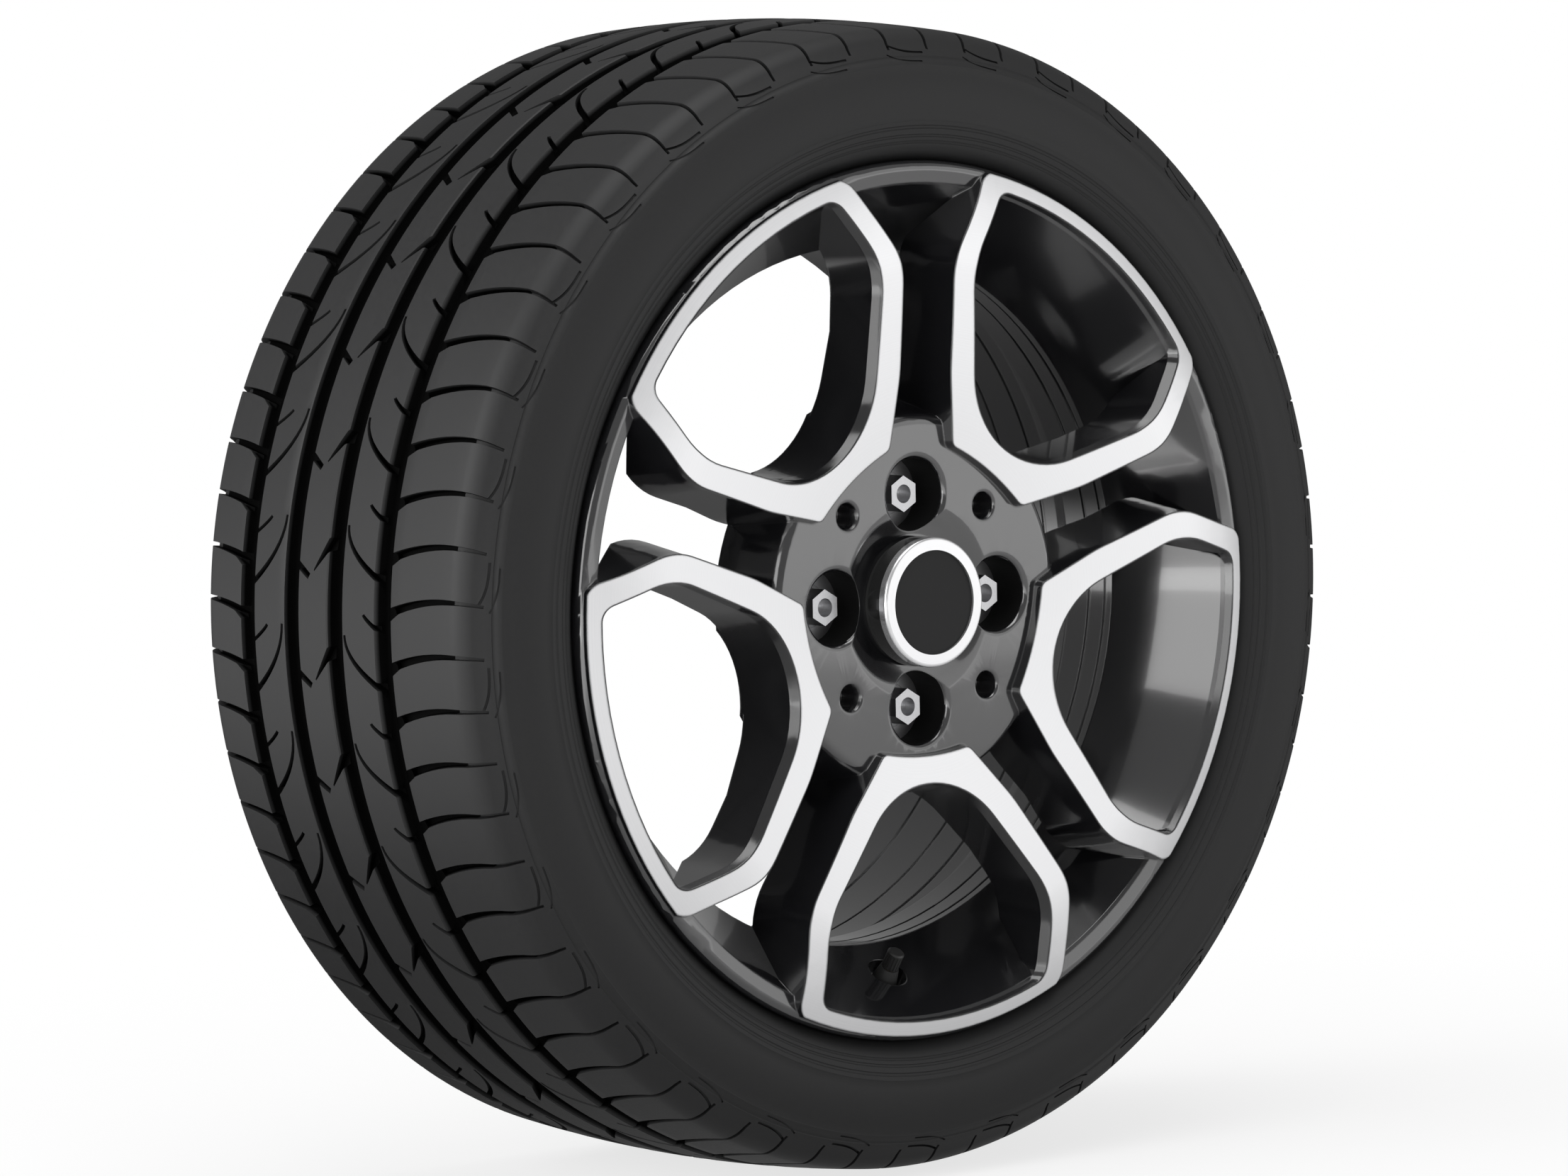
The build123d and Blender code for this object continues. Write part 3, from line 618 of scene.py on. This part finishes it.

# Painted shade: the rubber is made darker and duller down in the grooves and cuts, growing with depth below
# the tread, for the shade inside them
rubber = finish(
    "tyre_rubber", (0.0085, 0.0085, 0.0088), (0.015, 0.015, 0.0153), (0.48, 0.62), 420, 12e-6,
    {"Specular IOR Level": 0.3},
)
nodes, links = rubber.node_tree.nodes, rubber.node_tree.links
radius, place = radius_from(rubber)
across = nodes.new("ShaderNodeSeparateXYZ")
links.new(place, across.inputs["Vector"])


def sum_up(operation, first, second):
    """One step of arithmetic in the rubber's nodes, on sockets or plain numbers."""
    step = nodes.new("ShaderNodeMath")
    step.operation = operation
    for socket, value in zip(step.inputs, (first, second)):
        if isinstance(value, float):
            socket.default_value = value
        else:
            links.new(value, socket)
    return step.outputs["Value"]


from_middle = sum_up("SUBTRACT", across.outputs["Y"], rim_centre * MM)
fall = sum_up("DIVIDE", sum_up("MULTIPLY", from_middle, from_middle), 2 * crown_r * MM)
depth = sum_up("SUBTRACT", sum_up("SUBTRACT", tyre_r * MM, fall), radius)
in_tread = sum_up("LESS_THAN", sum_up("ABSOLUTE", from_middle, 0.0), tread_half * MM)
groove_shade_depth = nodes.new("ShaderNodeMapRange")
groove_shade_depth.inputs["From Min"].default_value = 0.6 * MM
groove_shade_depth.inputs["From Max"].default_value = 2.6 * MM
links.new(depth, groove_shade_depth.inputs["Value"])
# Painted shade: the grooves' colour goes to near black and their reflection fades as they deepen
shade = nodes.new("ShaderNodeMix")
shade.data_type = "RGBA"
shade.inputs["B"].default_value = (0.001, 0.001, 0.001, 1)
sunk = sum_up("MULTIPLY", groove_shade_depth.outputs["Result"], in_tread)
links.new(sunk, shade.inputs["Factor"])
groove_reflection_fade = nodes.new("ShaderNodeMapRange")
groove_reflection_fade.inputs["To Min"].default_value, groove_reflection_fade.inputs["To Max"].default_value = 0.3, 0.02
links.new(sunk, groove_reflection_fade.inputs["Value"])
links.new(groove_reflection_fade.outputs["Result"], nodes["Principled BSDF"].inputs["Specular IOR Level"])
links.new(node_of(rubber, "ShaderNodeMix").outputs["Result"], shade.inputs["A"])
links.new(shade.outputs["Result"], nodes["Principled BSDF"].inputs["Base Color"])
tyre.data.materials.append(rubber)
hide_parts("tyre")
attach(tyre, "wheel")

# Valve: a rubber body snapped into its hole in the bowl, with a brass stem bonded into it.
# The core inside is brass, with a steel spring round its pin and soft sealing rings.
valve_rubber = finish(
    "valve_rubber", (0.018, 0.018, 0.018), (0.03, 0.03, 0.03), (0.5, 0.65), 1500, 6e-6, {}
)
brass = finish(
    "valve_brass", (0.62, 0.44, 0.18), (0.72, 0.53, 0.25), (0.25, 0.4), 2500, 3e-6, {"Metallic": 1.0}
)
spring_steel = finish(
    "spring_steel", (0.45, 0.45, 0.46), (0.6, 0.6, 0.61), (0.25, 0.4), 3000, 2e-6, {"Metallic": 1.0}
)
for node in ("valve_body", "core_gasket", "pin_seal", "valve_cap_seal"):
    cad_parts[node].data.materials[0] = valve_rubber
for node in ("valve_stem", "valve_core", "valve_pin"):
    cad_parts[node].data.materials[0] = brass
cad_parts["cap_spring"].data.materials[0] = spring_steel

# The spring stands on the core and the pin presses on it; here it is copied as a piece of its own, with a
# steel finish
spring = bench_copy("valve_spring", "valve_spring_wire")
spring.data.materials.append(spring_steel)
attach(spring, "wheel")
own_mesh(spring)

# Wheel bolts: forged from steel and zinc plated, with hollow hexagon heads.
# Their cone seats hold the wheel to the hub from the bottom of the pockets.
bolt_zinc = finish(
    "bolt_zinc", (0.42, 0.42, 0.43), (0.62, 0.62, 0.63), (0.26, 0.42), 700, 6e-6, {"Metallic": 1.0}
)
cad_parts["wheel_bolts"].data.materials[0] = bolt_zinc

# Centre cap: a black moulding with clip legs that snap into the hub's bore.
# A ring of bright paint, black behind its edge, and a dull disc are let into its face.
cap_black = finish(
    "cap_black_plastic", (0.014, 0.014, 0.014), (0.022, 0.022, 0.022), (0.35, 0.5), 1800, 4e-6, {}
)
cap_silver = finish(
    "cap_silver_paint", (0.70, 0.70, 0.71), (0.78, 0.78, 0.79), (0.22, 0.30), 2200, 2e-6,
    {"Metallic": 0.85, "Coat Weight": 0.4},
)
cap_dull = finish(
    "cap_dull_disc", (0.008, 0.008, 0.0083), (0.014, 0.014, 0.0143), (0.42, 0.55), 2600, 5e-6,
    {"Specular IOR Level": 0.2},
)
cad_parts["cap_body"].data.materials[0] = cap_black
nodes, links = cap_silver.node_tree.nodes, cap_silver.node_tree.links
place = nodes.new("ShaderNodeTexCoord")
back_of = nodes.new("ShaderNodeSeparateXYZ")
paint_edge_y, paint_blur = -56.1 * MM, 0.1 * MM
behind = nodes.new("ShaderNodeMapRange")
behind.inputs["From Min"].default_value = paint_edge_y - paint_blur
behind.inputs["From Max"].default_value = paint_edge_y + paint_blur
ring_colour = nodes.new("ShaderNodeMix")
ring_colour.data_type = "RGBA"
ring_colour.inputs["B"].default_value = (0.012, 0.012, 0.012, 1)
metal = nodes.new("ShaderNodeMapRange")
metal.inputs["To Min"].default_value, metal.inputs["To Max"].default_value = 0.85, 0.0
links.new(place.outputs["Object"], back_of.inputs["Vector"])
links.new(back_of.outputs["Y"], behind.inputs["Value"])
links.new(behind.outputs["Result"], ring_colour.inputs["Factor"])
links.new(behind.outputs["Result"], metal.inputs["Value"])
links.new(node_of(cap_silver, "ShaderNodeMix").outputs["Result"], ring_colour.inputs["A"])
links.new(ring_colour.outputs["Result"], nodes["Principled BSDF"].inputs["Base Color"])
links.new(metal.outputs["Result"], nodes["Principled BSDF"].inputs["Metallic"])
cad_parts["cap_ring"].data.materials[0] = cap_silver
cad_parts["cap_disc"].data.materials[0] = cap_dull

# Valve cap: a small black moulding with a fluted grip.
# It is screwed on to the stem over a washer, and keeps dirt out of the core.
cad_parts["valve_cap"].data.materials[0] = cap_black

# Floor: a wide sheet of white paper that keeps a soft shadow under the tyre.
# For glossy rays the paper glows as a painted reflection: bright in front, brighter still at the far left,
# and dim behind the wheel.
bpy.ops.object.select_all(action="DESELECT")
bpy.ops.mesh.primitive_plane_add(size=60, location=(0, 0, 0))
floor = bpy.context.object
floor.name = "paper_floor"
floor.data.transform(Matrix.Translation((0, 0, -tyre_r * MM - 0.0005)))
paper = bpy.data.materials.new("white_paper")
paper.use_nodes = True
nodes, links = paper.node_tree.nodes, paper.node_tree.links
sheet = nodes["Principled BSDF"]
sheet.inputs["Base Color"].default_value = (0.8, 0.8, 0.8, 1)
sheet.inputs["Roughness"].default_value = 0.9
sheet.inputs["Specular IOR Level"].default_value = 0.0
glow = nodes.new("ShaderNodeEmission")
glow.inputs["Strength"].default_value = 1.0
ray = nodes.new("ShaderNodeLightPath")
share = nodes.new("ShaderNodeMath")
share.operation = "MULTIPLY"
spot = nodes.new("ShaderNodeTexCoord")
reach = nodes.new("ShaderNodeVectorMath")
reach.operation = "LENGTH"
away = nodes.new("ShaderNodeMapRange")
away.interpolation_type = "SMOOTHSTEP"
away.inputs["From Min"].default_value = 0.45
away.inputs["From Max"].default_value = 1.1
away.inputs["To Min"].default_value = 0.75
away.inputs["To Max"].default_value = 1.0
links.new(spot.outputs["Object"], reach.inputs[0])
links.new(reach.outputs["Value"], away.inputs["Value"])
links.new(away.outputs["Result"], share.inputs[1])
links.new(ray.outputs["Is Camera Ray"], share.inputs[0])
blend = nodes.new("ShaderNodeMixShader")
links.new(share.outputs["Value"], blend.inputs["Fac"])
links.new(sheet.outputs["BSDF"], blend.inputs[1])
links.new(glow.outputs["Emission"], blend.inputs[2])
# Painted reflection: in glossy rays the paper is an emitter, 0.9 in front fading to 0.12 behind, and up to
# 2.2 at the left
along = nodes.new("ShaderNodeSeparateXYZ")
reflection_glow_front = nodes.new("ShaderNodeMapRange")
reflection_glow_front.inputs["From Min"].default_value, reflection_glow_front.inputs["From Max"].default_value = -0.5, 0.3
reflection_glow_front.inputs["To Min"].default_value, reflection_glow_front.inputs["To Max"].default_value = 0.9, 0.12
reflection_glow_left = nodes.new("ShaderNodeMapRange")
reflection_glow_left.inputs["From Min"].default_value, reflection_glow_left.inputs["From Max"].default_value = -1.0, -0.35
reflection_glow_left.inputs["To Min"].default_value, reflection_glow_left.inputs["To Max"].default_value = 2.2, 0.0
reflection_glow_level = nodes.new("ShaderNodeMath")
reflection_glow_level.operation = "MAXIMUM"
mirrored = nodes.new("ShaderNodeEmission")
painted_reflection_mix = nodes.new("ShaderNodeMixShader")
links.new(spot.outputs["Object"], along.inputs["Vector"])
links.new(along.outputs["Y"], reflection_glow_front.inputs["Value"])
links.new(along.outputs["X"], reflection_glow_left.inputs["Value"])
links.new(reflection_glow_front.outputs["Result"], reflection_glow_level.inputs[0])
links.new(reflection_glow_left.outputs["Result"], reflection_glow_level.inputs[1])
links.new(reflection_glow_level.outputs["Value"], mirrored.inputs["Strength"])
links.new(ray.outputs["Is Glossy Ray"], painted_reflection_mix.inputs["Fac"])
links.new(blend.outputs["Shader"], painted_reflection_mix.inputs[1])
links.new(mirrored.outputs["Emission"], painted_reflection_mix.inputs[2])
links.new(painted_reflection_mix.outputs["Shader"], nodes["Material Output"].inputs["Surface"])
floor.data.materials.append(paper)

# Studio light: a white room for what is seen, dimmer where the paint mirrors it.
# Four large soft boxes give the form: top, front, side, and one for the windows' facets.
world = bpy.data.worlds.new("white_room")
bpy.context.scene.world = world
world.use_nodes = True
nodes, links = world.node_tree.nodes, world.node_tree.links
room = nodes["Background"]
room.inputs["Color"].default_value = (1, 1, 1, 1)
ray = nodes.new("ShaderNodeLightPath")
aim = nodes.new("ShaderNodeTexCoord")
parts = nodes.new("ShaderNodeSeparateXYZ")
studio = nodes.new("ShaderNodeMapRange")
studio.interpolation_type = "SMOOTHSTEP"
studio.inputs["From Min"].default_value = -0.35
studio.inputs["From Max"].default_value = 0.45
studio.inputs["To Min"].default_value = 0.42
studio.inputs["To Max"].default_value = 0.25
mirrored = nodes.new("ShaderNodeMath")
mirrored.operation = "MAXIMUM"
for_gloss = nodes.new("ShaderNodeMix")
for_gloss.inputs["A"].default_value = 0.5
for_eye = nodes.new("ShaderNodeMix")
for_eye.inputs["B"].default_value = 1.0
links.new(aim.outputs["Generated"], parts.inputs["Vector"])
links.new(parts.outputs["Y"], studio.inputs["Value"])
links.new(ray.outputs["Is Glossy Ray"], mirrored.inputs[0])
links.new(ray.outputs["Is Transmission Ray"], mirrored.inputs[1])
links.new(mirrored.outputs["Value"], for_gloss.inputs["Factor"])
links.new(studio.outputs["Result"], for_gloss.inputs["B"])
links.new(ray.outputs["Is Camera Ray"], for_eye.inputs["Factor"])
links.new(for_gloss.outputs["Result"], for_eye.inputs["A"])
links.new(for_eye.outputs["Result"], room.inputs["Strength"])


def soft_box(name, place, aim, width, height, power):
    """A soft box, turned to its aim."""
    lamp = bpy.data.lights.new(name, "AREA")
    lamp.shape, lamp.energy = "RECTANGLE", power
    lamp.size, lamp.size_y = width, height
    holder = bpy.data.objects.new(name, lamp)
    bpy.context.scene.collection.objects.link(holder)
    holder.location = place
    holder.rotation_euler = (Vector(aim) - Vector(place)).to_track_quat("-Z", "Y").to_euler()


soft_box("top_box", (-0.3, -0.4, 2.4), (0, 0.05, 0), 2.0, 2.0, 40)
soft_box("front_box", (2.0, -2.4, 0.35), (0, 0, 0), 2.8, 2.8, 23)
soft_box("side_box", (-2.8, 0.7, 0.9), (0, 0.1, 0), 1.8, 2.6, 80)
soft_box("facet_box", (-2.5, -1.15, 0.3), (0, 0, 0), 1.2, 1.8, 17)

# Camera: the photograph's angle, a long lens at about five metres.
# It looks past the wheel's centre, because the photograph is framed off centre.
view_side, view_up, view_roll = radians(41.424), radians(4.726), radians(-1.108)
view_distance, sensor_width, focal_px, image_width = 4.7277, 36.0, 12487.3, 2212
target = Vector((0, face_y * MM, 0))
back = Vector(
    (-sin(view_side) * cos(view_up), -cos(view_side) * cos(view_up), sin(view_up))
)
right = (-back).cross(Vector((0, 0, 1))).normalized()
up = right.cross(-back)
right, up = (
    cos(view_roll) * right + sin(view_roll) * up,
    cos(view_roll) * up - sin(view_roll) * right,
)
off_centre = Vector((196.13, -19.15)) * view_distance / focal_px
ahead = (target - right * off_centre.x - up * off_centre.y - (target + back * view_distance)).normalized()
right = ahead.cross(up).normalized()
up = right.cross(ahead)
camera_data = bpy.data.cameras.new("photo_camera")
camera_data.sensor_width = sensor_width
camera_data.lens = focal_px / image_width * sensor_width
camera_data.clip_end = 100
camera = bpy.data.objects.new("photo_camera", camera_data)
bpy.context.scene.collection.objects.link(camera)
turned_to = Matrix((right, up, -ahead)).transposed().to_4x4()
camera.matrix_world = Matrix.Translation(target + back * view_distance) @ turned_to
bpy.context.scene.camera = camera
bpy.context.scene.view_settings.view_transform = "Standard"
